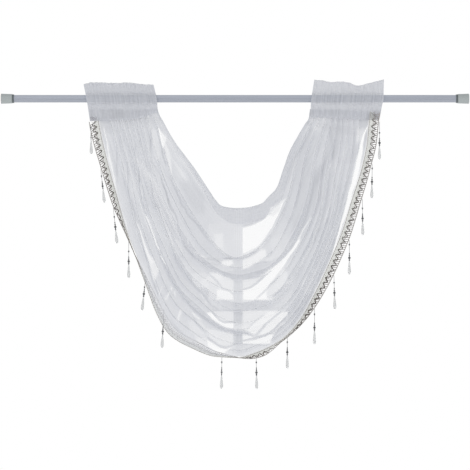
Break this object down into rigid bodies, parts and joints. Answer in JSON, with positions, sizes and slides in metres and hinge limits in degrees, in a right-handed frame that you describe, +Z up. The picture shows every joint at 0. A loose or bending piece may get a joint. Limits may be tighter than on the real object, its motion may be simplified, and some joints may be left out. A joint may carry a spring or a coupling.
{
  "type": "pelmet valance and rod",
  "caption": "Sheer swag valance gathered on a slim tension rod, with a zigzag braid and bead drops along its lower edge.",
  "frame": {"origin": "centre of the left end cap's outer flat face, on the rod's axis", "axes": "+X along the rod from the left end cap to the right one, +Z up, the cloth's front faces -Y"},
  "size_m": [1.006, 0.0503, 0.665],
  "materials": {
    "rod": "satin",
    "end_cap": "matte",
    "voile": "sheer woven",
    "braid": "openwork braid",
    "beads": "clear gloss"
  },
  "bodies": {
    "root": {"rod": "rod", "end_cap_left": "end_cap", "end_cap_right": "end_cap", "heading_left": "voile", "heading_right": "voile", "swag_panel": "voile", "braid_trim": "braid", "bead_drop_01": "beads", "bead_drop_02": "beads", "bead_drop_03": "beads", "bead_drop_04": "beads", "bead_drop_05": "beads", "bead_drop_06": "beads", "bead_drop_07": "beads", "bead_drop_08": "beads", "bead_drop_09": "beads", "bead_drop_10": "beads", "bead_drop_11": "beads", "bead_drop_12": "beads", "bead_drop_13": "beads", "bead_drop_14": "beads", "bead_drop_15": "beads"}
  },
  "joints": []
}
